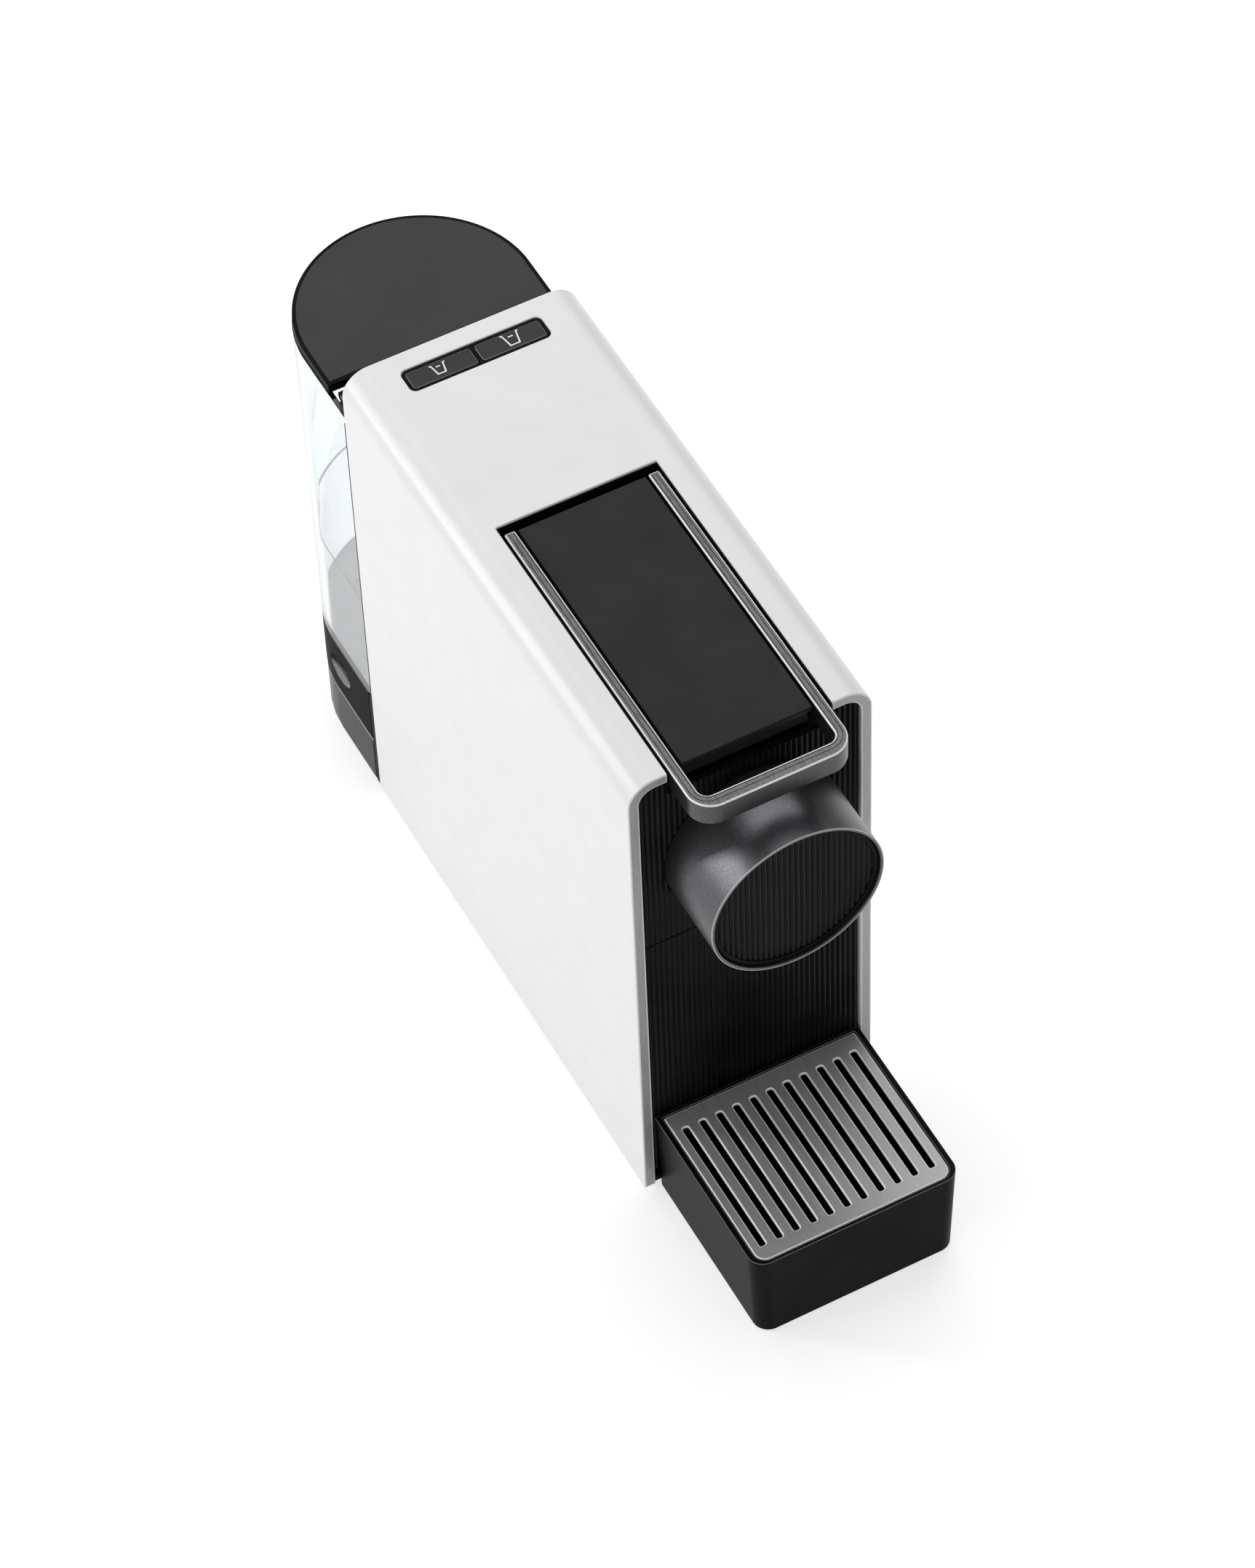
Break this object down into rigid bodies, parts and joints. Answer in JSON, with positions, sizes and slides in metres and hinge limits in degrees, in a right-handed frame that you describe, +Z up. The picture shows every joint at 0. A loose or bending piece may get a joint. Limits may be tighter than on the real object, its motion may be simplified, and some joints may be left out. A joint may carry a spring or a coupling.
{
  "type": "pod coffee machine",
  "caption": "Slim pod coffee machine with a gloss white casing, lever-top capsule slot, round ribbed brew head, drip tray with slotted grate and a clear rear water tank.",
  "frame": {"origin": "on the table, under the middle of the machine's whole length and width", "axes": "+Z up, -Y towards the front where the cup stands, +Y towards the water tank, +X to the right seen from the front"},
  "size_m": [0.0906, 0.357, 0.226],
  "materials": {
    "gloss_white": "high gloss",
    "black_plastic": "fine satin",
    "dark_plastic": "satin",
    "graphite_metal": "satin metallic graphite",
    "grate_metal": "brushed grey",
    "clear_plastic": "clear polished",
    "smoke_plastic": "clear smoke grey",
    "rubber": "matt",
    "steel": "plated",
    "cast_aluminium": "as cast",
    "grey_plastic": "moulded",
    "circuit_board": "solder mask",
    "silicone_hose": "translucent"
  },
  "bodies": {
    "machine": {"base_plate": "black_plastic", "brew_cheek_left": "grey_plastic", "brew_cheek_right": "grey_plastic", "brew_head_cap": "black_plastic", "brew_head_housing": "graphite_metal", "brew_hose": "silicone_hose", "brew_outlet_plate": "dark_plastic", "button_frame": "black_plastic", "capsule_chute": "dark_plastic", "coffee_spout": "black_plastic", "control_board": "circuit_board", "cord_gland": "rubber", "dock_base": "dark_plastic", "dock_seal": "rubber", "dock_skirt": "smoke_plastic", "dock_spine": "black_plastic", "flow_meter_body": "grey_plastic", "flow_meter_cover": "grey_plastic", "foot_front_left": "rubber", "foot_front_right": "rubber", "foot_rear_left": "rubber", "foot_rear_right": "rubber", "front_fascia": "black_plastic", "heater_block": "cast_aluminium", "heater_hose": "silicone_hose", "large_cup_switch": "grey_plastic", "lever_pin_left": "steel", "lever_pin_right": "steel", "outer_shell": "gloss_white", "pump_bracket": "steel", "pump_inlet_hose": "silicone_hose", "pump_mount_front": "rubber", "pump_mount_rear": "rubber", "rear_panel": "black_plastic", "screw_front_left": "steel", "screw_front_right": "steel", "screw_rear_left": "steel", "screw_rear_right": "steel", "small_cup_switch": "grey_plastic", "tank_dock": "dark_plastic", "tank_hose": "silicone_hose", "water_pump": "steel"},
    "lever": {"lever_handle": "graphite_metal", "lever_cover": "dark_plastic"},
    "carriage": {"brew_carriage": "grey_plastic"},
    "small_cup_key": {"small_cup_button": "dark_plastic"},
    "large_cup_key": {"large_cup_button": "dark_plastic"},
    "tray": {"drip_tray": "black_plastic", "capsule_container": "black_plastic"},
    "grate": {"drip_grate": "grate_metal"},
    "tank": {"water_tank": "clear_plastic", "tank_valve": "black_plastic", "lid_hinge_strip": "black_plastic", "lid_pin_left": "steel", "lid_pin_right": "steel"},
    "plunger": {"valve_plunger": "steel"},
    "lid": {"tank_lid": "dark_plastic"},
    "rotor": {"flow_meter_rotor": "black_plastic"}
  },
  "joints": [
    {"name": "lever_lift", "type": "hinge", "parent": "machine", "child": "lever", "pos_m": [0, -0.0015, 0.2175], "axis": [-1, 0, 0], "range_deg": [0, 65]},
    {"name": "carriage_slide", "type": "slide", "parent": "machine", "child": "carriage", "axis": [0, 1, 0], "range_m": [0, 0.03]},
    {"name": "small_cup_press", "type": "slide", "parent": "machine", "child": "small_cup_key", "axis": [0, 0, -1], "range_m": [0, 0.001], "stiffness_N_per_m": 300},
    {"name": "large_cup_press", "type": "slide", "parent": "machine", "child": "large_cup_key", "axis": [0, 0, -1], "range_m": [0, 0.001], "stiffness_N_per_m": 300},
    {"name": "tray_pull", "type": "slide", "parent": "machine", "child": "tray", "axis": [0, -1, 0], "range_m": [0, 0.11]},
    {"name": "grate_lift", "type": "slide", "parent": "tray", "child": "grate", "axis": [0, 0, 1], "range_m": [0, 0.03]},
    {"name": "tank_lift", "type": "slide", "parent": "machine", "child": "tank", "axis": [0, 0, 1], "range_m": [0, 0.06]},
    {"name": "lid_swing", "type": "hinge", "parent": "tank", "child": "lid", "pos_m": [0, 0.111, 0.2036], "axis": [1, 0, 0], "range_deg": [0, 95]},
    {"name": "plunger_rise", "type": "slide", "parent": "tank", "child": "plunger", "axis": [0, 0, 1], "range_m": [0, 0.003], "stiffness_N_per_m": 120},
    {"name": "rotor_spin", "type": "hinge", "parent": "machine", "child": "rotor", "pos_m": [-0.022, 0.09065, 0.1], "axis": [0, 1, 0], "continuous": true}
  ],
  "couplings": [
    {"joint": "carriage_slide", "follows": "lever_lift", "m_per_rad": 0.02644}
  ]
}
